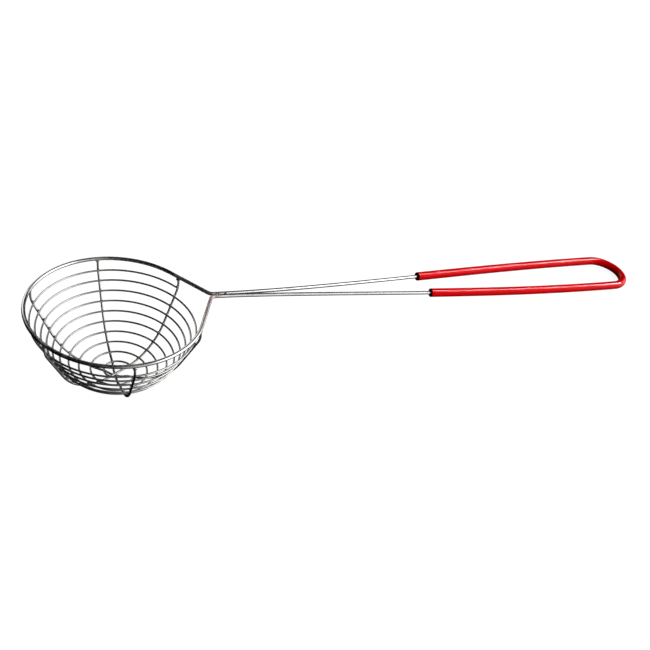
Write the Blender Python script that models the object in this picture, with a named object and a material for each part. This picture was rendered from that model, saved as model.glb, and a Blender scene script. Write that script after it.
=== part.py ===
"""Fondue skimmer: a spiral wire basket on three crossed rib wires, hung from a rim-and-handle
wire whose far loop is covered by a plastic tube.

Metres, +Z up. The skimmer lies as it does on a table: the foot under its basket and the far
end of its handle both touch z = 0. The world's origin is the middle of the foot, and the
handle points along +X. Every wire is first laid out level, in the rim's own frame, whose
origin is the middle of the rim. An empty then tips them all together into the lying pose.
"""
import math

import bmesh
import bpy
from mathutils import Matrix, Vector

# Gap between wires that are welded to each other, and between the tube and its wire
CONTACT_GAP = 0.0003

# Rim and handle, one heavy wire
FRAME_WIRE = 0.0020        # wire diameter
RIM_RADIUS = 0.0440        # to the wire's centreline
NECK_PROJECTION = 0.0073   # from the rim's circle out to where the two straights would meet
NECK_RISE = 0.0007         # how far the neck stands above the rim's plane
NECK_BEND = 0.0030         # centreline radius of the two bends at the neck
HANDLE_LENGTH = 0.2720     # from the neck to the middle of the end loop
HANDLE_DROOP = math.radians(5.2)   # slope of the handle below the rim's plane
HANDLE_BOW = 0.0011        # how far the middle of the handle hangs below a straight line
TOUCHING_RUN = 0.0082      # how far the two handle wires run side by side
SPREAD_EASE = 1.5          # 1 spreads the wires at once, higher values start more gently
LOOP_RADIUS = 0.0136       # end loop, to the wire's centreline
WIRE_JOINT = 0.0600        # from the middle of the loop back to where the wire's ends meet

# Plastic tube over the end of the handle
SLEEVE_WALL = 0.0012
SLEEVE_LENGTH = 0.1390     # along each handle wire, from the middle of the loop

# Basket wall, where the spiral and the ribs touch
BASKET_DEPTH = 0.0421      # from the rim's plane to the bottom
BOTTOM_SHIFT = 0.0024      # how far the bottom sits off the rim's middle, towards the handle
WALL_CORNER = 0.0064       # depth where the upright top of the wall turns into its slope
CORNER_ROUND = 0.0100      # radius of that turn
WALL_LEAN = math.radians(27.6)     # slope of the wall, from the upright
BOTTOM_FLAT = 0.0057       # radius of the level middle of the bottom

# Spiral, one thin wire
SPIRAL_WIRE = 0.0010
FIRST_TURN = 0.0058        # depth of the spiral's upper end
TURN_PITCH = 0.0056        # spacing of the turns along the wall
PITCH_OPENING = 0.0035     # how much wider the last turns are spaced, all in all
OPENING_EASE = 6           # higher values keep the opening to the last turns
SPIRAL_EYE = 0.0040        # radius of the hole that the spiral leaves in the middle
TURN_POINTS = 24           # points to a turn, a multiple of the six ribs

# Ribs, three medium wires
RIB_WIRE = 0.0012
FIRST_RIB = math.radians(25.8)     # the rib nearest to the handle, which carries the spiral's end
CROSSING_FLAT = 0.0015     # half the level run of a rib where it passes another
FOOT_RUN = 0.0040          # half the level run of the lowest rib, the foot
RAMP_RUN = 0.0055          # run over which a lowered rib climbs back to the wall
FOOT_CUT = 0.0002          # depth of the flat worn on the foot

# Fineness of the round shapes; a wire with bevel resolution n has 4 + 2n sides
RIM_STEPS = 44
LOOP_STEPS = 14
BEND_STEPS = 5
RIB_STEPS = 24             # from the rim to the middle of the bottom
BARE_WIRE_STEPS = 9        # along a handle wire, from the neck to the tube
SLEEVED_STEPS = 11         # along a handle wire, from the tube's end to the loop
THIN_RESOLUTION = 1
WIRE_RESOLUTION = 2
TUBE_RESOLUTION = 4

# What follows from the sizes above
FRAME_R = FRAME_WIRE / 2
SPIRAL_R = SPIRAL_WIRE / 2
RIB_R = RIB_WIRE / 2
SLEEVE_R = FRAME_R + CONTACT_GAP + SLEEVE_WALL
SPIRAL_INWARD = SPIRAL_R + CONTACT_GAP / 2
RIB_OUTWARD = RIB_R + CONTACT_GAP / 2
RIB_COUNT = 3
RIB_STACK = RIB_WIRE + CONTACT_GAP
WALL_TOP_RADIUS = RIM_RADIUS - RIB_OUTWARD
NECK_X = RIM_RADIUS + NECK_PROJECTION
RIM_LEAVE = math.acos(RIM_RADIUS / NECK_X)
TOUCHING_HALF = FRAME_R + CONTACT_GAP / 2


def bottom_round():
    """Radius of the bowl that joins the sloping wall to the level bottom."""
    slope = math.pi / 2 - WALL_LEAN
    run = WALL_TOP_RADIUS - BOTTOM_FLAT - (BASKET_DEPTH - WALL_CORNER) * math.tan(WALL_LEAN)
    return run / (math.sin(slope) - (1 - math.cos(slope)) * math.tan(WALL_LEAN))


def wall_pieces():
    """The basket wall's section from the rim down, as (length, radius of the turn or None)."""
    slope = math.pi / 2 - WALL_LEAN
    bowl = bottom_round()
    trim = CORNER_ROUND * math.tan(WALL_LEAN / 2)
    slope_end = BASKET_DEPTH - bowl * (1 - math.cos(slope))
    return [
        (WALL_CORNER - trim, None),
        (CORNER_ROUND * WALL_LEAN, CORNER_ROUND),
        ((slope_end - WALL_CORNER) / math.cos(WALL_LEAN) - trim, None),
        (bowl * slope, bowl),
        (BOTTOM_FLAT, None),
    ]


WALL = wall_pieces()
WALL_LENGTH = sum(length for length, turn in WALL)


def wall_point(distance, outward):
    """Radius and depth of a point that far down the wall, moved outward from it."""
    radius = WALL_TOP_RADIUS
    depth = 0.0
    heading = 0.0
    left = distance
    for length, turn in WALL:
        step = min(left, length)
        if turn is None:
            radius -= step * math.sin(heading)
            depth += step * math.cos(heading)
        else:
            turned = heading + step / turn
            radius -= turn * (math.cos(heading) - math.cos(turned))
            depth += turn * (math.sin(turned) - math.sin(heading))
            heading = turned
        left -= step
        if left <= 0:
            break
    return radius + outward * math.cos(heading), depth + outward * math.sin(heading)


def basket_place(turn, radius, depth):
    """A point of the basket, whose middle line leans from the rim to the shifted bottom."""
    shift = BOTTOM_SHIFT * depth / BASKET_DEPTH
    return Vector((shift + radius * math.cos(turn), radius * math.sin(turn), -depth))


def spread(first, last, steps):
    """Evenly spaced values from first to last, both included."""
    return [first + (last - first) * i / steps for i in range(steps + 1)]


def handle_half_width(along):
    """Half the spacing of the two handle wires, that far from the neck."""
    if along <= TOUCHING_RUN:
        return TOUCHING_HALF
    part = min(1.0, (along - TOUCHING_RUN) / (HANDLE_LENGTH - TOUCHING_RUN))
    opening = math.sin(math.pi / 2 * part) ** SPREAD_EASE
    return TOUCHING_HALF + (LOOP_RADIUS - TOUCHING_HALF) * opening


def handle_point(along, across):
    """A point of the drooping handle, in the rim's frame."""
    part = along / HANDLE_LENGTH
    bow = HANDLE_BOW * 4 * part * (1 - part)
    return Vector((
        NECK_X + along * math.cos(HANDLE_DROOP),
        across,
        NECK_RISE - along * math.sin(HANDLE_DROOP) - bow,
    ))


def handle_wire(first, last, side, steps):
    """Points of one handle wire, side +1 or -1."""
    return [handle_point(along, side * handle_half_width(along))
            for along in spread(first, last, steps)]


def loop_points():
    """Points of the end loop from the +Y wire to the -Y wire, ends left out."""
    points = []
    for turn in spread(0.0, math.pi, LOOP_STEPS)[1:-1]:
        along = HANDLE_LENGTH + LOOP_RADIUS * math.sin(turn)
        points.append(handle_point(along, LOOP_RADIUS * math.cos(turn)))
    return points


def rounded_corner(before, corner, after, radius, steps):
    """Points of an arc of that radius, tangent to both straights at a corner."""
    back = (before - corner).normalized()
    on = (after - corner).normalized()
    opening = back.angle(on)
    trim = radius / math.tan(opening / 2)
    centre = corner + (back + on).normalized() * radius / math.sin(opening / 2)
    start = corner + back * trim - centre
    end = corner + on * trim - centre
    arc = start.angle(end)
    points = []
    for part in spread(0.0, 1.0, steps):
        weight_start = math.sin((1 - part) * arc) / math.sin(arc)
        weight_end = math.sin(part * arc) / math.sin(arc)
        points.append(centre + start * weight_start + end * weight_end)
    return points


def neck_points(side):
    """The bend on one side of the neck, from the rim's straight to the handle wire."""
    leave = Vector((RIM_RADIUS * math.cos(RIM_LEAVE), side * RIM_RADIUS * math.sin(RIM_LEAVE), 0))
    corner = Vector((
        (RIM_RADIUS - TOUCHING_HALF * math.sin(RIM_LEAVE)) / math.cos(RIM_LEAVE),
        side * TOUCHING_HALF,
        NECK_RISE,
    ))
    after = handle_point(TOUCHING_RUN, side * TOUCHING_HALF)
    return rounded_corner(leave, corner, after, NECK_BEND, BEND_STEPS)


def rim_points():
    """The rim's circle from the -Y straight round the back to the +Y straight."""
    return [Vector((RIM_RADIUS * math.cos(turn), RIM_RADIUS * math.sin(turn), 0))
            for turn in spread(2 * math.pi - RIM_LEAVE, RIM_LEAVE, RIM_STEPS)]


def frame_points():
    """The whole rim-and-handle wire, from one of its two meeting ends to the other."""
    joint = HANDLE_LENGTH - WIRE_JOINT
    sleeve_end = HANDLE_LENGTH - SLEEVE_LENGTH
    steps_to_joint = round(SLEEVED_STEPS / 2)
    points = handle_wire(joint - CONTACT_GAP / 2, sleeve_end, -1, steps_to_joint)
    points += handle_wire(sleeve_end, TOUCHING_RUN, -1, BARE_WIRE_STEPS)[1:]
    points += list(reversed(neck_points(-1)))
    points += rim_points()
    points += neck_points(1)
    points += handle_wire(TOUCHING_RUN, sleeve_end, 1, BARE_WIRE_STEPS)
    points += handle_wire(sleeve_end, HANDLE_LENGTH, 1, SLEEVED_STEPS)[1:]
    points += loop_points()
    points += handle_wire(HANDLE_LENGTH, joint + CONTACT_GAP / 2, -1, steps_to_joint)
    return points


def sleeve_points():
    """The middle line of the plastic tube."""
    sleeve_end = HANDLE_LENGTH - SLEEVE_LENGTH
    points = handle_wire(sleeve_end, HANDLE_LENGTH, 1, SLEEVED_STEPS)
    points += loop_points()
    points += handle_wire(HANDLE_LENGTH, sleeve_end, -1, SLEEVED_STEPS)
    return points


def spiral_points():
    """The basket's spiral from its upper end on the first rib down to its eye."""
    start = FIRST_TURN
    length = WALL_LENGTH - SPIRAL_EYE - start
    steps = round((length - PITCH_OPENING) / TURN_PITCH * TURN_POINTS)
    pitch = (length - PITCH_OPENING) / steps
    points = []
    for i in range(steps + 1):
        distance = start + pitch * i + PITCH_OPENING * (i / steps) ** OPENING_EASE
        radius, depth = wall_point(distance, -SPIRAL_INWARD)
        turn = FIRST_RIB + 2 * math.pi * i / TURN_POINTS
        points.append(basket_place(turn, radius, depth))
    overhang = (points[0] - points[1]).normalized() * (RIB_R + SPIRAL_R)
    return [points[0] + overhang] + points


def least_gap(points, diameter):
    """Least gap between wire turns: points half a turn or more apart, less the diameter."""
    apart = TURN_POINTS // 2
    least = min((points[i] - points[j]).length
                for i in range(len(points)) for j in range(i + apart, len(points)))
    return least - diameter


def rib_points(turn, level):
    """One rib wire, down the wall on one side and up the other.

    level counts the wires above it in the crossing under the bottom.
    """
    run = FOOT_RUN if level == RIB_COUNT - 1 else CROSSING_FLAT
    half = []
    for distance in spread(FRAME_R + CONTACT_GAP, WALL_LENGTH, RIB_STEPS):
        radius, depth = wall_point(distance, RIB_OUTWARD)
        climb = min(1.0, max(0.0, (radius - run) / RAMP_RUN))
        lowered = level * RIB_STACK * (1 - climb * climb * (3 - 2 * climb))
        half.append((radius, depth + lowered))
    section = half + [(-radius, depth) for radius, depth in reversed(half[:-1])]
    return [basket_place(turn, radius, depth) for radius, depth in section]


def lying_pose():
    """Tilt and shift that bring the foot and the handle's far end down to z = 0."""
    foot = basket_place(0, 0, BASKET_DEPTH + RIB_OUTWARD + (RIB_COUNT - 1) * RIB_STACK)
    foot_below = RIB_R - FOOT_CUT
    far = handle_point(HANDLE_LENGTH + LOOP_RADIUS, 0) - foot
    reach = math.hypot(far.x, far.z)
    tilt = math.atan2(far.z, far.x) + math.asin((foot_below - SLEEVE_R) / reach)
    shift = Vector((0, 0, foot_below)) - Matrix.Rotation(tilt, 3, "Y") @ foot
    return tilt, shift


def new_material(name, colour, roughness, metallic):
    material = bpy.data.materials.new(name)
    material.use_nodes = True
    shader = material.node_tree.nodes["Principled BSDF"]
    shader.inputs["Base Color"].default_value = (*colour, 1)
    shader.inputs["Roughness"].default_value = roughness
    shader.inputs["Metallic"].default_value = metallic
    return material


def wire_curve(name, points, radius, resolution, twist, capped=True):
    """A round wire as a curve with a bevel."""
    curve = bpy.data.curves.new(name, "CURVE")
    curve.dimensions = "3D"
    curve.twist_mode = twist
    curve.bevel_depth = radius
    curve.bevel_resolution = resolution
    curve.use_fill_caps = capped
    spline = curve.splines.new("POLY")
    spline.points.add(len(points) - 1)
    spline.use_smooth = True
    for place, point in zip(spline.points, points):
        place.co = (*point, 1)
    wire = bpy.data.objects.new(name, curve)
    bpy.context.scene.collection.objects.link(wire)
    return wire


def as_mesh(wire):
    """The same wire as a mesh object of the same name."""
    name = wire.name
    bpy.context.view_layer.update()
    mesh = bpy.data.meshes.new_from_object(wire.evaluated_get(bpy.context.evaluated_depsgraph_get()))
    curve = wire.data
    bpy.data.objects.remove(wire)
    bpy.data.curves.remove(curve)
    mesh.name = name
    body = bpy.data.objects.new(name, mesh)
    bpy.context.scene.collection.objects.link(body)
    return body


def finish(body, material, parent):
    body.data.materials.clear()
    body.data.materials.append(material)
    body.parent = parent


def frame_wire(material, parent):
    """Rim, neck, handle and end loop, bent from one wire."""
    wire = wire_curve("frame_wire", frame_points(), FRAME_R, WIRE_RESOLUTION, "Z_UP")
    finish(wire, material, parent)


def basket_spiral(material, parent):
    """The basket's wall and bottom, wound from one wire."""
    points = spiral_points()
    print(f"basket_spiral: least gap to itself {1000 * least_gap(points, SPIRAL_WIRE):.2f} mm")
    wire = wire_curve("basket_spiral", points, SPIRAL_R, THIN_RESOLUTION, "Z_UP")
    finish(wire, material, parent)


def rib_wires(material, parent):
    """Three U-shaped wires that cross one below the other; the lowest is the foot."""
    lowest = RIB_COUNT - 1
    spacing = math.pi / RIB_COUNT
    turns = [FIRST_RIB, FIRST_RIB + 2 * spacing, FIRST_RIB + spacing]
    for level, turn in enumerate(turns):
        name = f"rib_wire_{level + 1}"
        wire = wire_curve(name, rib_points(turn, level), RIB_R, WIRE_RESOLUTION, "MINIMUM")
        if level == lowest:
            wire = as_mesh(wire)
            flatten_foot(wire.data, parent.matrix_basis)
        finish(wire, material, parent)


def flatten_foot(mesh, pose):
    """Cut the wire off level at the table, so that the foot has a flat underside."""
    to_rim_frame = pose.inverted()
    body = bmesh.new()
    body.from_mesh(mesh)
    bmesh.ops.remove_doubles(body, verts=body.verts, dist=0.000001)
    cut = bmesh.ops.bisect_plane(
        body,
        geom=body.verts[:] + body.edges[:] + body.faces[:],
        dist=0.000001,
        plane_co=to_rim_frame @ Vector((0, 0, 0)),
        plane_no=to_rim_frame.to_3x3() @ Vector((0, 0, -1)),
        clear_outer=True,
    )
    edges = [item for item in cut["geom_cut"] if isinstance(item, bmesh.types.BMEdge)]
    bmesh.ops.edgeloop_fill(body, edges=edges)
    bmesh.ops.recalc_face_normals(body, faces=body.faces)
    body.to_mesh(mesh)
    body.free()
    mesh.set_sharp_from_angle(angle=math.radians(50))


def grip_sleeve(material, parent):
    """The plastic tube over the end loop, open at both ends."""
    skin = wire_curve("grip_sleeve", sleeve_points(), SLEEVE_R, TUBE_RESOLUTION, "Z_UP", False)
    tube = as_mesh(skin)
    wall = tube.modifiers.new("wall", "SOLIDIFY")
    wall.thickness = SLEEVE_WALL
    wall.offset = -1
    tube.data.shade_smooth()
    finish(tube, material, parent)


def build():
    for old in list(bpy.data.objects):
        bpy.data.objects.remove(old)

    tilt, shift = lying_pose()
    pose = bpy.data.objects.new("lying_pose", None)
    bpy.context.scene.collection.objects.link(pose)
    pose.matrix_basis = Matrix.Translation(shift) @ Matrix.Rotation(tilt, 4, "Y")
    print(f"lying pose: tipped {math.degrees(tilt):.2f} degrees towards the handle")

    steel = new_material("steel_wire", (0.60, 0.59, 0.58), 0.25, 1.0)
    thin_steel = new_material("thin_steel_wire", (0.50, 0.50, 0.49), 0.30, 1.0)
    rib_steel = new_material("rib_steel_wire", (0.45, 0.45, 0.44), 0.30, 1.0)
    red = new_material("red_plastic", (0.62, 0.006, 0.008), 0.12, 0.0)

    frame_wire(steel, pose)
    basket_spiral(thin_steel, pose)
    rib_wires(rib_steel, pose)
    grip_sleeve(red, pose)


build()
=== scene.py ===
import math

import bpy
from mathutils import Matrix, Vector


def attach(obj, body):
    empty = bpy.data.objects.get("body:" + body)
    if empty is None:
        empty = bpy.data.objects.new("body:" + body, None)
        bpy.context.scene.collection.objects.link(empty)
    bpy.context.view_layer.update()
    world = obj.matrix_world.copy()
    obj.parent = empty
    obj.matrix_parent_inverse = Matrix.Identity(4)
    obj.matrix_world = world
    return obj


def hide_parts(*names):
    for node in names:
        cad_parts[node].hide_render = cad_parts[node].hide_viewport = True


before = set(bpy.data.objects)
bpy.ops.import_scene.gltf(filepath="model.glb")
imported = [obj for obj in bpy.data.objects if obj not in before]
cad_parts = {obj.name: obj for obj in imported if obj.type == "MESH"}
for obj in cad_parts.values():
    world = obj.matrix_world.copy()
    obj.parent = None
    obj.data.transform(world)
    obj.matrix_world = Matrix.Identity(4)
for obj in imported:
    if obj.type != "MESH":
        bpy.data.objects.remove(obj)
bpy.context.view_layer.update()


# Frame wire: rim, neck, handle and end loop are one steel wire of 2 mm, plated bright. It is
# bent round a ring for the rim, pinched at the neck, and bent back on itself for the loop;
# its two ends meet inside the plastic tube.
FRAME_RADIUS = 0.0010
WELD_GAP = 0.0003
RIM_RADIUS = 0.0440
NECK_PROJECTION = 0.0073
NECK_RISE = 0.0007
NECK_BEND = 0.0030
HANDLE_LENGTH = 0.2720
HANDLE_DROOP = math.radians(5.2)
HANDLE_BOW = 0.0011
TOUCHING_RUN = 0.0082
SPREAD_EASE = 1.5
LOOP_RADIUS = 0.0136
WIRE_JOINT = 0.0600
FIRST_RIB = math.radians(25.8)
RIB_SPACING = math.radians(60)
NECK_X = RIM_RADIUS + NECK_PROJECTION
RIM_LEAVE = math.acos(RIM_RADIUS / NECK_X)
TOUCHING_HALF = FRAME_RADIUS + WELD_GAP / 2

RIM_HEIGHT = 0.04632
FOOT_SHIFT = 0.00003
LYING_TILT = math.radians(3.229)
LYING = Matrix.Translation((-FOOT_SHIFT, 0, RIM_HEIGHT)) @ Matrix.Rotation(LYING_TILT, 4, "Y")

RIM_STEPS = 180
NECK_STEPS = 10
FAR_WIRE_STEPS = 120
NEAR_WIRE_STEPS = 100
LOOP_STEPS = 28
JOINT_STEPS = 24

FRAME_STEEL = (0.86, 0.86, 0.85)
FRAME_GLOSS = 0.18
STEEL_EDGE_TINT = (0.5, 0.5, 0.5, 1)
WORN_TONE = 0.72
NOISE_SPAN = (0.3, 0.7)
LINE_STRETCH = 0.02
LINE_ROUGHNESS = 0.10
TARNISH_SPAN = (0.52, 0.70)
TARNISH_TONE = 0.5
TARNISH_ROUGHNESS = 0.12
WAVE_SPAN = (0.35, 0.65)
WAVE_TONE = 0.35
HEAT_BROWN = (0.56, 0.45, 0.42)
HEAT_ROUGHNESS = 0.45
RIM_HEAT_REACH = 0.0060
RIM_HEAT = 0.55
RIM_HEAT_SPAN = (0.044, 0.046)
NECK_HEAT = 0.95
NECK_HEAT_X = 0.0500
NECK_HEAT_SPAN = (0.008, 0.022)
FADE_TO_HANDLE = 2.5
FADE_TO_RIM = 0.65
FADE_SIDEWAYS = 0.4
FAR_SIDE_HEAT = 0.2
SIDE_SPAN = (-0.003, 0.003)
HEAT_SPOTS = (0.55, 1.0)


class Signal:
    """A node's output. Arithmetic on it adds Math nodes, and node() adds any other node."""

    def __init__(self, tree, socket=None):
        self.tree = tree
        self.socket = socket

    def node(self, kind, settings=None, values=None, out=0):
        made = self.tree.nodes.new(kind)
        for name, value in (settings or {}).items():
            setattr(made, name, value)
        for name, value in (values or {}).items():
            if isinstance(value, Signal):
                self.tree.links.new(value.socket, made.inputs[name])
            else:
                made.inputs[name].default_value = value
        return Signal(self.tree, made.outputs[out])

    def output(self, name):
        return Signal(self.tree, self.socket.node.outputs[name])

    def math(self, operation, *others):
        values = dict(enumerate((self, *others)))
        return self.node("ShaderNodeMath", {"operation": operation}, values)

    def __add__(self, other):
        return self.math("ADD", other)

    def __sub__(self, other):
        return self.math("SUBTRACT", other)

    def __rsub__(self, other):
        return self.math("MULTIPLY_ADD", -1.0, other)

    def __mul__(self, other):
        return self.math("MULTIPLY", other)

    __radd__ = __add__
    __rmul__ = __mul__

    def ramp(self, low, high, at_low=0.0, at_high=1.0):
        """Smoothly from at_low to at_high as the value goes from low to high."""
        values = {"Value": self, "From Min": low, "From Max": high,
                  "To Min": at_low, "To Max": at_high}
        return self.node("ShaderNodeMapRange", {"interpolation_type": "SMOOTHSTEP"}, values)

    def blend(self, first, second):
        """The first colour where the value is 0, the second where it is 1."""
        settings = {"data_type": "RGBA", "clamp_factor": True}
        first, second = [c if isinstance(c, Signal) else (*c, 1) for c in (first, second)]
        return self.node("ShaderNodeMix", settings, {0: self, 6: first, 7: second}, out=2)

    def axes(self):
        return [self.node("ShaderNodeSeparateXYZ", None, {0: self}, out=i) for i in range(3)]

    def vector(self, x, y, z):
        return self.node("ShaderNodeCombineXYZ", None, {"X": x, "Y": y, "Z": z})

    def noise(self, place, scale, detail=2.0, roughness=0.5):
        values = {"Vector": place, "Scale": scale, "Detail": detail, "Roughness": roughness}
        return self.node("ShaderNodeTexNoise", None, values)


def new_finish(name):
    """A material, its Principled shader, and a Signal to write its nodes with."""
    material = bpy.data.materials.new(name)
    material.use_nodes = True
    shader = material.node_tree.nodes["Principled BSDF"]
    return material, shader, Signal(material.node_tree)


def feed(shader, **signals):
    """Link what changes over the surface to the shader's sockets."""
    for name, signal in signals.items():
        socket = shader.inputs[name.replace("_", " ")]
        signal.tree.links.new(signal.socket, socket)


def new_tree(name, sizes):
    """A Geometry Nodes tree with named inputs, as (tree, {name: Signal}, its output socket)."""
    tree = bpy.data.node_groups.new(name, "GeometryNodeTree")
    face = tree.interface
    face.new_socket("Geometry", in_out="OUTPUT", socket_type="NodeSocketGeometry")
    face.new_socket("Geometry", in_out="INPUT", socket_type="NodeSocketGeometry")
    for label, kind in sizes.items():
        face.new_socket(label, in_out="INPUT", socket_type="NodeSocket" + kind)
    entry = tree.nodes.new("NodeGroupInput")
    leave = tree.nodes.new("NodeGroupOutput")
    inputs = {label: Signal(tree, entry.outputs[label]) for label in ("Geometry", *sizes)}
    return tree, inputs, leave.inputs["Geometry"]


def grow(name, tree, points, edges, sizes, outward=()):
    """Run a tree on drawn points with these sizes, and keep what it makes as a plain mesh,
    laid down as the skimmer lies."""
    line = bpy.data.meshes.new(name)
    line.from_pydata(points, edges, [])
    if outward:
        line.attributes.new("outward", "FLOAT_VECTOR", "POINT")
        for held, direction in zip(line.attributes["outward"].data, outward):
            held.vector = direction
    carrier = bpy.data.objects.new(name, line)
    bpy.context.scene.collection.objects.link(carrier)
    grower = carrier.modifiers.new("grow", "NODES")
    grower.node_group = tree
    for item in tree.interface.items_tree:
        if item.item_type == "SOCKET" and item.in_out == "INPUT" and item.name in sizes:
            grower[item.identifier] = sizes[item.name]
    bpy.context.view_layer.update()
    seen = carrier.evaluated_get(bpy.context.evaluated_depsgraph_get())
    mesh = bpy.data.meshes.new_from_object(seen)
    bpy.data.objects.remove(carrier)
    bpy.data.meshes.remove(line)
    mesh.name = name
    mesh.transform(LYING)
    piece = bpy.data.objects.new(name, mesh)
    bpy.context.scene.collection.objects.link(piece)
    return piece


def chain(points):
    """The edges that join points one after another."""
    return [(i, i + 1) for i in range(len(points) - 1)]


def wire_tree():
    """A round wire along a drawn line. It keeps how far along and round each point lies."""
    sizes = {"Wire Radius": "Float", "Sides": "Int", "Closed Ends": "Bool",
             "Material": "Material"}
    tree, size, end = new_tree("round_wire", sizes)
    at = size["Geometry"]
    path = at.node("GeometryNodeMeshToCurve", None, {"Mesh": at})
    along = at.node("GeometryNodeSplineParameter").output("Length")
    path = at.node("GeometryNodeStoreNamedAttribute", {"data_type": "FLOAT", "domain": "POINT"},
                   {"Geometry": path, "Name": "along", "Value": along})
    ring = at.node("GeometryNodeCurvePrimitiveCircle", None,
                   {"Resolution": size["Sides"], "Radius": size["Wire Radius"]})
    place = at.node("GeometryNodeInputPosition")
    ring = at.node("GeometryNodeStoreNamedAttribute",
                   {"data_type": "FLOAT_VECTOR", "domain": "POINT"},
                   {"Geometry": ring, "Name": "around", "Value": place})
    skin = at.node("GeometryNodeCurveToMesh", None,
                   {"Curve": path, "Profile Curve": ring, "Fill Caps": size["Closed Ends"]})
    skin = at.node("GeometryNodeRealizeInstances", None, {"Geometry": skin})
    skin = at.node("GeometryNodeSetMaterial", None,
                   {"Geometry": skin, "Material": size["Material"]})
    tree.links.new(skin.socket, end)
    return tree


def spread(first, last, steps):
    """Evenly spaced values from first to last, both of them included."""
    return [first + (last - first) * i / steps for i in range(steps + 1)]


def handle_half_width(along):
    """Half the way from one handle wire to the other, that far from the neck."""
    if along <= TOUCHING_RUN:
        return TOUCHING_HALF
    part = min(1.0, (along - TOUCHING_RUN) / (HANDLE_LENGTH - TOUCHING_RUN))
    widest = LOOP_RADIUS - TOUCHING_HALF
    return TOUCHING_HALF + widest * math.sin(math.pi / 2 * part) ** SPREAD_EASE


def handle_point(along, across):
    """A point of the handle's plane, which droops from the neck and bows a little."""
    part = along / HANDLE_LENGTH
    bow = HANDLE_BOW * 4 * part * (1 - part)
    fall = along * math.sin(HANDLE_DROOP) + bow
    return Vector((NECK_X + along * math.cos(HANDLE_DROOP), across, NECK_RISE - fall))


def handle_wire(first, last, side, steps):
    return [handle_point(s, side * handle_half_width(s)) for s in spread(first, last, steps)]


def loop_points(steps):
    """The end loop's half circle, from the far wire to the near one, without its two ends."""
    points = []
    for turn in spread(0.0, math.pi, steps)[1:-1]:
        along = HANDLE_LENGTH + LOOP_RADIUS * math.sin(turn)
        points.append(handle_point(along, LOOP_RADIUS * math.cos(turn)))
    return points


def rounded_corner(before, corner, after, radius, steps):
    back = (before - corner).normalized()
    on = (after - corner).normalized()
    half = back.angle(on) / 2
    centre = corner + (back + on).normalized() * radius / math.sin(half)
    start = corner + back * radius / math.tan(half) - centre
    end = corner + on * radius / math.tan(half) - centre
    return [centre + start.slerp(end, part).normalized() * radius
            for part in spread(0.0, 1.0, steps)]


def neck_points(side):
    """The bend from the rim's straight into a handle wire."""
    leave = Vector((math.cos(RIM_LEAVE), side * math.sin(RIM_LEAVE), 0)) * RIM_RADIUS
    reach = (RIM_RADIUS - TOUCHING_HALF * math.sin(RIM_LEAVE)) / math.cos(RIM_LEAVE)
    corner = Vector((reach, side * TOUCHING_HALF, NECK_RISE))
    after = handle_point(TOUCHING_RUN, side * TOUCHING_HALF)
    return rounded_corner(leave, corner, after, NECK_BEND, NECK_STEPS)


def frame_points():
    """From one end of the wire to the other, which meet in the near handle wire."""
    joint = HANDLE_LENGTH - WIRE_JOINT
    rim = [Vector((math.cos(turn), math.sin(turn), 0)) * RIM_RADIUS
           for turn in spread(2 * math.pi - RIM_LEAVE, RIM_LEAVE, RIM_STEPS)]
    points = handle_wire(joint - WELD_GAP / 2, TOUCHING_RUN, -1, NEAR_WIRE_STEPS)
    points += list(reversed(neck_points(-1))) + rim + neck_points(1)
    points += handle_wire(TOUCHING_RUN, HANDLE_LENGTH, 1, FAR_WIRE_STEPS)
    points += loop_points(LOOP_STEPS)
    return points + handle_wire(HANDLE_LENGTH, joint + WELD_GAP / 2, -1, JOINT_STEPS)


def along_and_round(at):
    """How far along its wire each point of the surface lies, and its x and y round the wire."""
    along = at.node("ShaderNodeAttribute", {"attribute_name": "along"}).output("Fac")
    around = at.node("ShaderNodeAttribute", {"attribute_name": "around"}).output("Vector")
    around_x, around_y, _ = around.axes()
    return along, around_x, around_y


def steel_finish(name, colour, gloss, heat_tint):
    """Bright plated wire: drawing lines along it, faint tarnish, and heat tint at the welds."""
    material, shader, at = new_finish(name)
    shader.inputs["Metallic"].default_value = 1.0
    shader.inputs["Specular Tint"].default_value = STEEL_EDGE_TINT
    along, around_x, around_y = along_and_round(at)
    place = at.node("ShaderNodeTexCoord").output("Object")
    drawn = at.vector(along * LINE_STRETCH, around_x, around_y)
    lines = at.noise(drawn, scale=9000.0, detail=3.0, roughness=0.6)
    dull = at.noise(place, scale=260.0, detail=4.0, roughness=0.6).ramp(*TARNISH_SPAN)
    waves = at.noise(place, scale=60.0).ramp(*WAVE_SPAN)
    worn = tuple(WORN_TONE * c for c in colour)
    tone = (dull * TARNISH_TONE + waves * WAVE_TONE).blend(colour, worn)
    tint = heat_tint(place)
    feed(shader, Base_Color=tint.blend(tone, HEAT_BROWN))
    feed(shader, Roughness=lines.ramp(*NOISE_SPAN, gloss, gloss + LINE_ROUGHNESS)
         + dull * TARNISH_ROUGHNESS + tint * HEAT_ROUGHNESS)
    feed(shader, Normal=at.node("ShaderNodeBump", None, {
        "Strength": 0.10, "Distance": 0.00002, "Height": lines}))
    return material


def beside_a_rib(place, reach):
    """1 where the basket's wires meet a rib, falling to 0 that far to either side."""
    x, y, _ = place.axes()
    half = RIB_SPACING / 2
    turn = (y.math("ARCTAN2", x) - (FIRST_RIB - half)).math("FLOORED_MODULO", RIB_SPACING)
    from_rib = (turn - half).math("ABSOLUTE")
    radius = (x * x + y * y).math("SQRT")
    return (from_rib * radius).ramp(0.0, reach, 1.0, 0.0)


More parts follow.
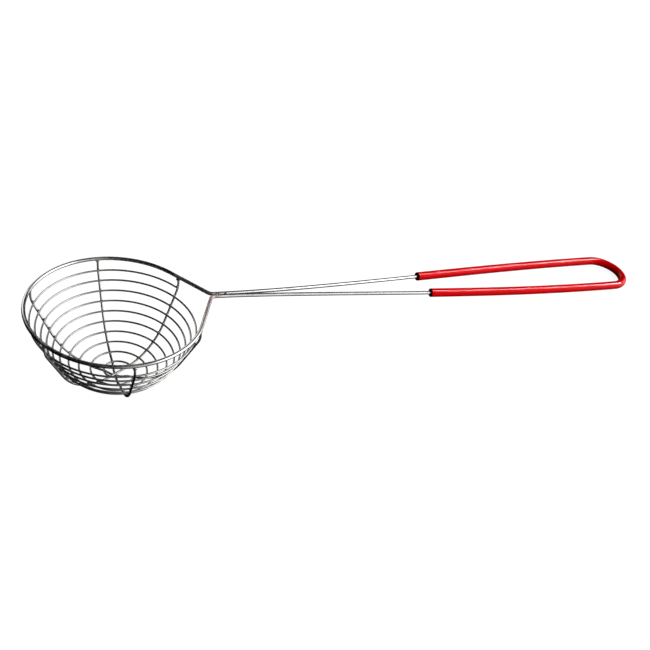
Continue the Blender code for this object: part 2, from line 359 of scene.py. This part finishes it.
def rim_tint(place):
    """Heat tint over each rib's weld, and along the straights to the neck, mostly the near one."""
    x, y, _ = place.axes()
    on_rim = x.ramp(*RIM_HEAT_SPAN, 1.0, 0.0)
    past_neck = x - NECK_HEAT_X
    from_neck = ((past_neck * FADE_TO_HANDLE).math("MAXIMUM", past_neck * -FADE_TO_RIM)
                 + y.math("ABSOLUTE") * FADE_SIDEWAYS)
    near_side = y.ramp(*SIDE_SPAN, 1.0, FAR_SIDE_HEAT)
    at_neck = from_neck.ramp(*NECK_HEAT_SPAN, NECK_HEAT, 0.0) * near_side
    spots = place.noise(place, scale=400.0).ramp(0.2, 0.7, *HEAT_SPOTS)
    return (beside_a_rib(place, RIM_HEAT_REACH) * on_rim * RIM_HEAT + at_neck) * spots


round_wire = wire_tree()
frame_steel = steel_finish("bright_frame_steel", FRAME_STEEL, FRAME_GLOSS, rim_tint)
frame_line = frame_points()
frame_piece = grow("frame_wire_bent", round_wire, frame_line, chain(frame_line), {
    "Wire Radius": FRAME_RADIUS, "Sides": 20, "Closed Ends": True, "Material": frame_steel})
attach(frame_piece, "root")
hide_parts("frame_wire")


# Basket spiral: one steel wire of 1 mm, wound on a former from the rib beside the handle down
# to the eye in the middle of the bottom, and spot welded to each rib that it crosses.
SPIRAL_RADIUS = 0.0005
BASKET_DEPTH = 0.0421
BOTTOM_SHIFT = 0.0024
WALL_CORNER = 0.0064
CORNER_ROUND = 0.0100
WALL_LEAN = math.radians(27.6)
BOTTOM_FLAT = 0.0057
FIRST_TURN = 0.0058
TURN_PITCH = 0.0056
PITCH_OPENING = 0.0035
OPENING_EASE = 6.0
SPIRAL_EYE = 0.0040
RIB_RADIUS = 0.0006
WALL_TOP_RADIUS = RIM_RADIUS - RIB_RADIUS - WELD_GAP / 2
WALL_STEP = 0.0003
STEPS_A_SIXTH = 16
# The spiral's steel is set darker than the frame's: painted shade for the darker look of the
# basket's turns.
SPIRAL_STEEL_SHADED = (0.66, 0.66, 0.65)
BASKET_GLOSS = 0.24
CROSSING_HEAT_REACH = 0.0028
CROSSING_HEAT = 0.3


def wall_section():
    """The wall from the rim to the middle of the bottom, as (radius, 0, -depth) points, and
    its length. A short upright, a corner, the slope, the bowl and the flat follow each other."""
    slope = math.pi / 2 - WALL_LEAN
    run = WALL_TOP_RADIUS - BOTTOM_FLAT - (BASKET_DEPTH - WALL_CORNER) * math.tan(WALL_LEAN)
    bowl = run / (math.sin(slope) - (1 - math.cos(slope)) * math.tan(WALL_LEAN))
    trim = CORNER_ROUND * math.tan(WALL_LEAN / 2)
    slope_end = BASKET_DEPTH - bowl * (1 - math.cos(slope))
    parts = [(WALL_CORNER - trim, None), (CORNER_ROUND * WALL_LEAN, CORNER_ROUND),
             ((slope_end - WALL_CORNER) / math.cos(WALL_LEAN) - trim, None),
             (bowl * slope, bowl), (BOTTOM_FLAT, None)]
    points = [Vector((WALL_TOP_RADIUS, 0, 0))]
    heading = 0.0
    for length, bend_radius in parts:
        steps = max(1, round(length / WALL_STEP))
        for _ in range(steps):
            bend = 0.0 if bend_radius is None else length / steps / bend_radius
            middle = heading + bend / 2
            chord = length / steps
            if bend_radius is not None:
                chord = 2 * bend_radius * math.sin(bend / 2)
            points.append(points[-1] + Vector((-math.sin(middle), 0, -math.cos(middle))) * chord)
            heading += bend
    return points, sum(length for length, bend_radius in parts)


def beside_wall(at, wall_curve, distance, outward):
    """Radius and depth of a wire that far down the wall, moved outward from it."""
    wall = at.node("GeometryNodeSampleCurve", {"mode": "LENGTH"},
                   {"Curves": wall_curve, "Length": distance}, out="Position")
    x, _, z = wall.axes()
    dx, _, dz = wall.output("Tangent").axes()
    return x - dz * outward, 0.0 - z - dx * outward


def turned(at, radius, depth, turn, lean):
    """The place at a radius and depth, turned round Z, and shifted towards the handle in step
    with its depth."""
    return at.vector(radius * turn.math("COSINE") + depth * lean,
                     radius * turn.math("SINE"), 0.0 - depth)


def wire_through(at, size, count, place):
    """A round wire through that many points, which lie at the given place."""
    line = at.node("GeometryNodeMeshLine", None, {"Count": count})
    line = at.node("GeometryNodeSetPosition", None, {"Geometry": line, "Position": place})
    return at.node("GeometryNodeGroup", {"node_tree": round_wire}, {
        "Geometry": line, "Wire Radius": size["Wire Radius"], "Sides": size["Sides"],
        "Closed Ends": True, "Material": size["Material"]})


def spiral_tree():
    """The wall's section goes in, and the wire wound along it comes out."""
    sizes = {"First Turn": "Float", "Step Down": "Float", "Opening": "Float",
             "Opening Ease": "Float", "Steps": "Int", "Step Turn": "Float",
             "First Rib": "Float", "Inward": "Float", "Lean": "Float", "Overhang": "Float",
             "Wire Radius": "Float", "Sides": "Int", "Material": "Material"}
    tree, size, end = new_tree("wound_spiral", sizes)
    at = size["Geometry"]
    wall_curve = at.node("GeometryNodeMeshToCurve", None, {"Mesh": at})
    step = at.node("GeometryNodeInputIndex") - 1.0
    step = step.math("MAXIMUM", 0.0 - size["Overhang"])
    part = step.math("MAXIMUM", 0.0).math("DIVIDE", size["Steps"])
    distance = (size["First Turn"] + step * size["Step Down"]
                + size["Opening"] * part.math("POWER", size["Opening Ease"]))
    turn = size["First Rib"] + step * size["Step Turn"]
    radius, depth = beside_wall(at, wall_curve, distance, 0.0 - size["Inward"])
    place = turned(at, radius, depth, turn, size["Lean"])
    wire = wire_through(at, size, size["Steps"] + 2.0, place)
    tree.links.new(wire.socket, end)
    return tree


def crossing_tint(place):
    """Heat tint where the spiral crosses a rib."""
    return beside_a_rib(place, CROSSING_HEAT_REACH) * CROSSING_HEAT


wall_points, wall_length = wall_section()
winding = wall_length - SPIRAL_EYE - FIRST_TURN
even_winding = winding - PITCH_OPENING
# The turns are counted in sixths, from rib to rib, to a quarter of a sixth.
sixths = round(even_winding / TURN_PITCH * 24) / 4
spiral_steps = round(sixths * STEPS_A_SIXTH)
step_turn = RIB_SPACING / STEPS_A_SIXTH
spiral_steel = steel_finish("drawn_spiral_steel", SPIRAL_STEEL_SHADED, BASKET_GLOSS, crossing_tint)
spiral_piece = grow("basket_spiral_wound", spiral_tree(), wall_points, chain(wall_points), {
    "First Turn": FIRST_TURN, "Step Down": even_winding / spiral_steps,
    "Opening": PITCH_OPENING, "Opening Ease": OPENING_EASE, "Steps": spiral_steps,
    "Step Turn": step_turn, "First Rib": FIRST_RIB,
    "Inward": SPIRAL_RADIUS + WELD_GAP / 2, "Lean": BOTTOM_SHIFT / BASKET_DEPTH,
    "Overhang": (RIB_RADIUS + SPIRAL_RADIUS) / (WALL_TOP_RADIUS * step_turn),
    "Wire Radius": SPIRAL_RADIUS, "Sides": 12, "Material": spiral_steel})
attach(spiral_piece, "root")
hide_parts("basket_spiral")


# Ribs: three steel wires of 1.2 mm, each bent in a U and welded under the rim at both ends.
# They cross one below the other under the bottom, where the lowest one is the foot.
FOOT_RUN = 0.0040
CROSSING_FLAT = 0.0015
RAMP_RUN = 0.0055
RIB_STEPS = 160
# The ribs' steel is set darker still than the frame's: painted shade for the dark look of the
# ribs.
RIB_STEEL_SHADED = (0.56, 0.56, 0.55)
RIB_HEAT = 0.4
RIB_HEAT_FROM = 0.0405
RIB_HEAT_FULL = 0.0440


def rib_tree():
    """The wall's section goes in, and a U-shaped rib round its outside comes out."""
    sizes = {"Wall Length": "Float", "Top": "Float", "Steps": "Int", "Turn": "Float",
             "Outward": "Float", "Lowered": "Float", "Level Run": "Float", "Ramp": "Float",
             "Lean": "Float", "Wire Radius": "Float", "Sides": "Int", "Material": "Material"}
    tree, size, end = new_tree("bent_rib", sizes)
    at = size["Geometry"]
    wall_curve = at.node("GeometryNodeMeshToCurve", None, {"Mesh": at})
    share = at.node("GeometryNodeInputIndex").math("DIVIDE", size["Steps"]) * 2.0 - 1.0
    covered = size["Wall Length"] - size["Top"]
    distance = size["Wall Length"] - share.math("ABSOLUTE") * covered
    radius, depth = beside_wall(at, wall_curve, distance, size["Outward"])
    ramp_end = size["Level Run"] + size["Ramp"]
    lowered = radius.ramp(size["Level Run"], ramp_end, size["Lowered"], 0.0)
    half_turn = share.math("LESS_THAN", 0.0) * math.pi
    place = turned(at, radius, depth + lowered, size["Turn"] + half_turn, size["Lean"])
    wire = wire_through(at, size, size["Steps"] + 1.0, place)
    tree.links.new(wire.socket, end)
    return tree


def rib_tint(place):
    """Heat tint at a rib's two ends, under the rim."""
    _, _, height = place.axes()
    return height.ramp(RIB_HEAT_FROM, RIB_HEAT_FULL, 0.0, RIB_HEAT)


rib_steel = steel_finish("bright_rib_steel", RIB_STEEL_SHADED, BASKET_GLOSS, rib_tint)
bent_rib = rib_tree()
rib_layers = ((0, CROSSING_FLAT), (2, CROSSING_FLAT), (1, FOOT_RUN))
for level, (sixth, level_run) in enumerate(rib_layers):
    rib_piece = grow(f"rib_wire_{level + 1}_bent", bent_rib, wall_points, chain(wall_points), {
        "Wall Length": wall_length, "Top": FRAME_RADIUS + WELD_GAP, "Steps": RIB_STEPS,
        "Turn": FIRST_RIB + sixth * RIB_SPACING, "Outward": RIB_RADIUS + WELD_GAP / 2,
        "Lowered": level * (2 * RIB_RADIUS + WELD_GAP),
        "Level Run": level_run, "Ramp": RAMP_RUN,
        "Lean": BOTTOM_SHIFT / BASKET_DEPTH, "Wire Radius": RIB_RADIUS, "Sides": 14,
        "Material": rib_steel})
    # The lowest rib is worn flat where it stands on the table.
    for corner in rib_piece.data.vertices:
        corner.co.z = max(0.0, corner.co.z)
    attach(rib_piece, "root")
    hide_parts(f"rib_wire_{level + 1}")


# Welds: small nuggets of the wires' own steel, squeezed out where the spiral crosses a rib,
# where a rib's end meets the rim, and along the neck. The heat leaves them dull and brownish.
NUGGET_RADIUS = 0.00075
RIM_NUGGET_RADIUS = 0.0011
NECK_NUGGET_RADIUS = 0.0009
NUGGET_SWELL = (0.85, 1.15)
NUGGET_LUMPS = 0.5
NECK_NUGGETS_ABOVE = (0.0022, 0.0036, 0.0076)
NECK_NUGGETS_BELOW = (0.0028, 0.0046)
GROOVE_HEIGHT = 0.00050
WELD_STEEL = (0.34, 0.31, 0.30)
WELD_BRIGHT_STEEL = (0.62, 0.57, 0.54)
WELD_GLOSS = (0.22, 0.42)


def weld_tree():
    """A lumpy nugget at each point, no two the same."""
    sizes = {"Nugget Radius": "Float", "Flatness": "Float", "Lumps": "Float", "Seed": "Int",
             "Material": "Material"}
    tree, size, end = new_tree("weld_nuggets", sizes)
    at = size["Geometry"]
    outward = at.node("GeometryNodeInputNamedAttribute", {"data_type": "FLOAT_VECTOR"},
                      {"Name": "outward"})
    facing = at.node("FunctionNodeAlignRotationToVector", {"axis": "Z"}, {"Vector": outward})
    swell = at.node("FunctionNodeRandomValue", {"data_type": "FLOAT"},
                    {2: NUGGET_SWELL[0], 3: NUGGET_SWELL[1], "Seed": size["Seed"]}, out=1)
    ball = at.node("GeometryNodeMeshIcoSphere", None,
                   {"Radius": size["Nugget Radius"], "Subdivisions": 3})
    nuggets = at.node("GeometryNodeInstanceOnPoints", None, {
        "Points": at, "Instance": ball, "Rotation": facing,
        "Scale": at.vector(swell, swell, swell * size["Flatness"])})
    nuggets = at.node("GeometryNodeRealizeInstances", None, {"Geometry": nuggets})
    place = at.node("GeometryNodeInputPosition")
    normal = at.node("GeometryNodeInputNormal")
    uneven = at.noise(place, scale=1100.0, detail=1.0) - 0.5
    lump = uneven * size["Lumps"] * size["Nugget Radius"]
    push = at.node("ShaderNodeVectorMath", {"operation": "SCALE"}, {0: normal, "Scale": lump})
    nuggets = at.node("GeometryNodeSetPosition", None, {"Geometry": nuggets, "Offset": push})
    nuggets = at.node("GeometryNodeSetShadeSmooth", None, {"Geometry": nuggets})
    nuggets = at.node("GeometryNodeSetMaterial", None,
                      {"Geometry": nuggets, "Material": size["Material"]})
    tree.links.new(nuggets.socket, end)
    return tree


def wall_at(distance):
    """Radius, depth and heading of the wall that far down it."""
    left = distance
    for before, after in zip(wall_points, wall_points[1:]):
        length = (after - before).length
        if left <= length:
            break
        left -= length
    point = before + (after - before) * left / length
    heading = math.atan2(before.x - after.x, before.z - after.z)
    return point.x, -point.z, heading


def crossings():
    """Each place where the spiral crosses a rib, and the wall's outward direction there."""
    for sixth in range(int(sixths) + 1):
        part = sixth / sixths
        distance = FIRST_TURN + even_winding * part + PITCH_OPENING * part ** OPENING_EASE
        radius, depth, heading = wall_at(distance)
        turn = FIRST_RIB + sixth * RIB_SPACING
        across = Vector((math.cos(turn), math.sin(turn), 0))
        leaning = Vector((BOTTOM_SHIFT * depth / BASKET_DEPTH, 0, -depth))
        facing = across * math.cos(heading) - Vector((0, 0, math.sin(heading)))
        yield across * radius + leaning, facing


def rim_welds():
    """Each rib's end, under the rim."""
    for sixth in range(6):
        turn = FIRST_RIB + sixth * RIB_SPACING
        place = Vector((math.cos(turn), math.sin(turn), 0)) * RIM_RADIUS
        yield place - Vector((0, 0, FRAME_RADIUS + WELD_GAP / 2)), Vector((0, 0, 1))


def neck_welds():
    """Along the groove between the two handle wires, above and below."""
    for side, places in ((1, NECK_NUGGETS_ABOVE), (-1, NECK_NUGGETS_BELOW)):
        for along in places:
            groove = Vector((0, 0, side * GROOVE_HEIGHT))
            yield handle_point(along, 0) + groove, Vector((0, 0, side))


def weld_finish():
    """Burnt steel, uneven in tone and gloss, with a fine scale."""
    material, shader, at = new_finish("burnt_weld_steel")
    shader.inputs["Metallic"].default_value = 1.0
    place = at.node("ShaderNodeTexCoord").output("Object")
    crust = at.noise(place, scale=1800.0, detail=3.0, roughness=0.6)
    feed(shader, Base_Color=crust.ramp(*WAVE_SPAN).blend(WELD_STEEL, WELD_BRIGHT_STEEL))
    feed(shader, Roughness=crust.ramp(*NOISE_SPAN, *WELD_GLOSS))
    feed(shader, Normal=at.node("ShaderNodeBump", None, {
        "Strength": 0.6, "Distance": 0.00005, "Height": crust}))
    return material


weld_nuggets = weld_tree()
weld_steel = weld_finish()
for name, places, radius, flatness, slot in (
        ("welds_at_crossings", crossings(), NUGGET_RADIUS, 0.70, "rib_wire"),
        ("welds_under_rim", rim_welds(), RIM_NUGGET_RADIUS, 0.75, "frame_wire"),
        ("welds_at_neck", neck_welds(), NECK_NUGGET_RADIUS, 0.60, "frame_wire")):
    spots, directions = zip(*places)
    welds = grow(name, weld_nuggets, spots, [], {
        "Nugget Radius": radius, "Flatness": flatness, "Lumps": NUGGET_LUMPS, "Seed": 7,
        "Material": weld_steel}, directions)
    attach(welds, "root")


# Grip sleeve: one soft plastic tube of 5 mm, glossy red, slid over the loop before the wire's
# two ends met inside it. It is cut square at both ends and held only by its tight fit.
SLEEVE_RADIUS = 0.0025
SLEEVE_WALL = 0.0012
SLEEVE_LENGTH = 0.1390
SLEEVE_LIP = 0.00018
SLEEVE_WIRE_STEPS = 70
SLEEVE_LOOP_STEPS = 36
SLEEVE_RED = (0.58, 0.0003, 0.0012)
SLEEVE_DEEP_RED = (0.48, 0.0003, 0.0008)
# Near-black painted shade for the faces of the sleeve's cut ends.
SLEEVE_CUT_PAINTED_SHADE = (0.03, 0.001, 0.001)
SLEEVE_GLOSS = (0.07, 0.11)
SLEEVE_SHEEN = 0.20
SLEEVE_SHEEN_TINT = (1.0, 0.13, 0.16, 1)
DRAWN_STRETCH = 0.03
DRAWN_TONE = 0.3
CLOUD_TONE = 0.6
CUT_SPAN = (0.0001, 0.0003)
CUT_ROUGHNESS = 0.5
DUST_SPAN = (0.62, 0.75)
DUST_ROUGHNESS = 0.04


def sleeve_finish(run):
    """Glossy plastic: fine drawn lines, a cloudy red, a little dust, and rough cut ends painted
    near black as shade.
    """
    material, shader, at = new_finish("glossy_red_plastic")
    shader.inputs["Specular IOR Level"].default_value = SLEEVE_SHEEN
    shader.inputs["Specular Tint"].default_value = SLEEVE_SHEEN_TINT
    along, around_x, around_y = along_and_round(at)
    place = at.node("ShaderNodeTexCoord").output("Object")
    cut_face = along.math("MINIMUM", run - along).ramp(*CUT_SPAN, 1.0, 0.0)
    lengthwise = at.vector(along * DRAWN_STRETCH, around_x, around_y)
    drawn = at.noise(lengthwise, scale=2600.0, detail=3.0, roughness=0.55)
    cloudy = at.noise(place, scale=90.0, detail=3.0)
    dust = at.noise(place, scale=900.0).ramp(*DUST_SPAN)
    deeper = cloudy.ramp(*NOISE_SPAN) * CLOUD_TONE + drawn * DRAWN_TONE
    tone = deeper.blend(SLEEVE_RED, SLEEVE_DEEP_RED)
    # The cut ends' faces get a near-black colour: painted shade.
    feed(shader, Base_Color=cut_face.blend(tone, SLEEVE_CUT_PAINTED_SHADE))
    feed(shader, Roughness=drawn.ramp(*NOISE_SPAN, *SLEEVE_GLOSS)
         + dust * DUST_ROUGHNESS + cut_face * CUT_ROUGHNESS)
    feed(shader, Normal=at.node("ShaderNodeBump", None, {
        "Strength": 0.03, "Distance": 0.00004, "Height": drawn + cloudy * 1.5}))
    return material


sleeve_end = HANDLE_LENGTH - SLEEVE_LENGTH
sleeve_line = handle_wire(sleeve_end, HANDLE_LENGTH, 1, SLEEVE_WIRE_STEPS)
sleeve_line += loop_points(SLEEVE_LOOP_STEPS)
sleeve_line += handle_wire(HANDLE_LENGTH, sleeve_end, -1, SLEEVE_WIRE_STEPS)
sleeve_run = sum((after - before).length for before, after in zip(sleeve_line, sleeve_line[1:]))
sleeve = grow("grip_sleeve_pushed_on", round_wire, sleeve_line, chain(sleeve_line), {
    "Wire Radius": SLEEVE_RADIUS, "Sides": 28, "Closed Ends": False,
    "Material": sleeve_finish(sleeve_run)})
wall = sleeve.modifiers.new("wall", "SOLIDIFY")
wall.thickness = SLEEVE_WALL
wall.offset = -1
lip = sleeve.modifiers.new("lip", "BEVEL")
lip.width = SLEEVE_LIP
lip.segments = 3
lip.angle_limit = math.radians(60)
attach(sleeve, "root")
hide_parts("grip_sleeve")


# Studio: the skimmer lies on a white table, in daylight from its near side, weaker light from
# its far side and a soft lamp beyond the handle. What is glossy mirrors three pale walls, not
# the table or that lamp. A second, long lamp gives only the sleeve its glint.
TABLE_HALF = 3.0
TABLE_TONE = (0.20, 0.20, 0.20, 1)
TABLE_IN_VIEW = (0.90, 0.90, 0.90)
WALL_FOOT = -0.866
LAMP_PLACE = Vector((3.050, -0.352, 2.716))
LAMP_AIM = Vector((0.1, 0.0, 0.04))
CAMERA_PLACE = (-0.11185, -0.39608, 0.37452)
CAMERA_TURN = (51.0655, -6.8025, -25.0011)
FOCAL_PIXELS = 1036
PICTURE_PIXELS = 650
SENSOR_WIDTH = 36.0

table_white, shader, at = new_finish("white_table")
shader.inputs["Base Color"].default_value = TABLE_TONE
shader.inputs["Roughness"].default_value = 0.9
shader.inputs["Specular IOR Level"].default_value = 0.0
shader.inputs["Emission Strength"].default_value = 1.0
in_view = at.node("ShaderNodeLightPath").output("Is Camera Ray")
feed(shader, Emission_Color=in_view.blend((0.0, 0.0, 0.0), TABLE_IN_VIEW))
sheet = bpy.data.meshes.new("table")
sheet.from_pydata([(-TABLE_HALF, -TABLE_HALF, 0.0), (TABLE_HALF, -TABLE_HALF, 0.0),
                   (TABLE_HALF, TABLE_HALF, 0.0), (-TABLE_HALF, TABLE_HALF, 0.0)],
                  [], [(0, 1, 2, 3)])
sheet.materials.append(table_white)
table = bpy.data.objects.new("table", sheet)
table.visible_glossy = False
bpy.context.scene.collection.objects.link(table)

world = bpy.data.worlds.new("studio")
bpy.context.scene.world = world
world.use_nodes = True
air = world.node_tree.nodes["Background"]
at = Signal(world.node_tree)
path = at.node("ShaderNodeLightPath")
right, back, height = at.node("ShaderNodeTexCoord").output("Generated").axes()


def light_from(direction, low, high, radiance):
    """Light round a direction, from none where the cosine to it is low to all where high."""
    x, y, z = direction
    return (right * x + back * y + height * z).ramp(low, high, 0.0, radiance)


lamp_wall = light_from((0.926, -0.287, 0.247), 0.75, 0.87, 1.8)
near_wall = light_from((0.738, -0.615, -0.277), 0.3, 0.92, 0.78)
far_wall = light_from((-0.062, 0.956, 0.286), 0.890, 0.975, 1.4)
# Below the horizon the walls fade, to nothing at 60 degrees down.
walls = (lamp_wall + near_wall + far_wall) * height.ramp(WALL_FOOT, 0.0)
near_daylight = light_from((0.600, -0.740, 0.300), 0.3, 0.95, 2.80)
far_daylight = light_from((0.300, 0.950, 0.080), 0.6, 0.95, 0.90)
mirrored = path.output("Is Glossy Ray").math("MAXIMUM", path.output("Is Transmission Ray"))
in_view = path.output("Is Camera Ray")
air_colour = (in_view + mirrored * walls
              + (1.0 - mirrored) * (1.0 - in_view) * (near_daylight + far_daylight))
world.node_tree.links.new(air_colour.socket, air.inputs["Color"])


def soft_lamp(name, width, length, power):
    lamp = bpy.data.lights.new(name, "AREA")
    lamp.shape = "RECTANGLE"
    lamp.size = width
    lamp.size_y = length
    lamp.energy = power
    held = bpy.data.objects.new(name, lamp)
    held.location = LAMP_PLACE
    held.rotation_euler = (LAMP_AIM - LAMP_PLACE).to_track_quat("-Z", "Y").to_euler()
    bpy.context.scene.collection.objects.link(held)
    return held


softbox = soft_lamp("main_softbox", width=0.80, length=0.80, power=50.0)
softbox.visible_glossy = False
glint = soft_lamp("sleeve_glint", width=1.20, length=2.40, power=1100.0)
glint.visible_diffuse = False
only_sleeve = bpy.data.collections.new("glint_falls_on")
only_sleeve.objects.link(sleeve)
glint.light_linking.receiver_collection = only_sleeve

camera = bpy.data.cameras.new("camera")
camera.sensor_width = SENSOR_WIDTH
camera.lens = FOCAL_PIXELS / PICTURE_PIXELS * SENSOR_WIDTH
camera.clip_start = 0.01
viewer = bpy.data.objects.new("camera", camera)
viewer.location = CAMERA_PLACE
viewer.rotation_euler = [math.radians(angle) for angle in CAMERA_TURN]
bpy.context.scene.collection.objects.link(viewer)
bpy.context.scene.camera = viewer
bpy.context.scene.view_settings.view_transform = "Standard"
